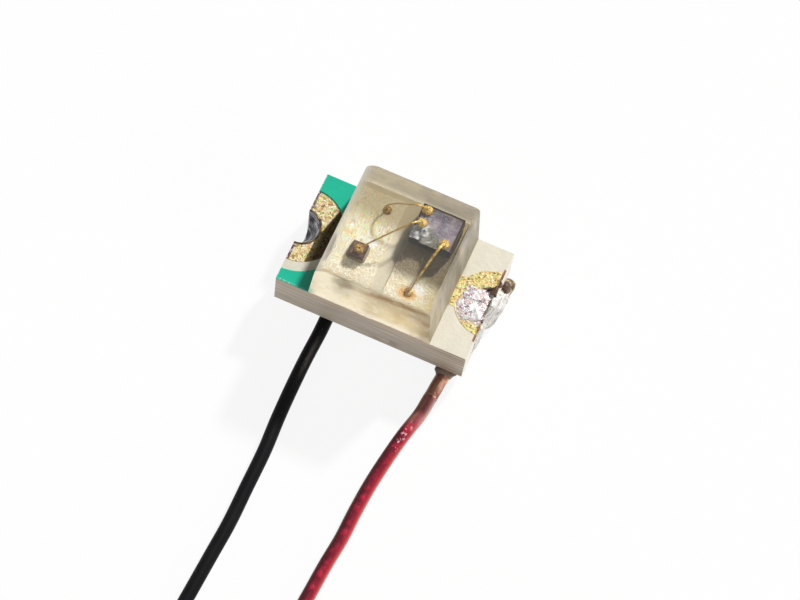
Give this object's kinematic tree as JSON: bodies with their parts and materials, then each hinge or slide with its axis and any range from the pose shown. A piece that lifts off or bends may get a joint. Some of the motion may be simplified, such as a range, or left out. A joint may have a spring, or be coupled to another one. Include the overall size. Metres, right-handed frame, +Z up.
{
  "type": "pre-wired smd led",
  "caption": "Clear 0805 chip LED with a flasher die, pre-wired with red and black enamelled magnet wire, 150 mm each, the spare wire coiled and tied.",
  "frame": {"origin": "On the surface that the part lies on, under the middle of the chip's board.", "axes": "X runs along the board, +X towards the end with the red lead. The leads run off towards -Y. +Z is up, out through the lens."},
  "size_m": [0.0074, 0.0106, 0.0012],
  "materials": {
    "laminate": "satin",
    "solder_mask": "gloss",
    "gold_foil": "satin",
    "lens_resin": "gloss",
    "flasher_silicon": "gloss",
    "emitter_crystal": "gloss",
    "silver_adhesive": "matte",
    "bond_gold": "gloss",
    "solder": "gloss",
    "tinned_wire": "gloss",
    "bare_copper": "gloss",
    "black_enamel": "gloss",
    "red_enamel": "gloss",
    "tie_paper": "matte"
  },
  "bodies": {
    "root": {"substrate": "laminate", "solder_mask_back": "solder_mask", "solder_mask_front": "solder_mask", "left_top_foil": "gold_foil", "right_top_foil": "gold_foil", "left_notch_plating": "gold_foil", "right_notch_plating": "gold_foil", "left_under_pad": "gold_foil", "right_under_pad": "gold_foil", "lens": "lens_resin", "flasher_die": "flasher_silicon", "emitter_die": "emitter_crystal", "flasher_adhesive": "silver_adhesive", "emitter_adhesive": "silver_adhesive", "supply_bond_wire": "bond_gold", "emitter_bond_wire": "bond_gold", "return_bond_wire": "bond_gold", "left_solder_joint": "solder", "right_solder_joint": "solder", "black_wire_end": "tinned_wire", "red_wire_end": "bare_copper", "black_lead": "black_enamel", "red_lead": "red_enamel", "black_coil": "black_enamel", "red_coil": "red_enamel", "black_tail": "black_enamel", "red_tail": "red_enamel", "black_coil_tie": "tie_paper", "red_coil_tie": "tie_paper", "black_tip": "tinned_wire", "red_tip": "tinned_wire"}
  },
  "joints": []
}
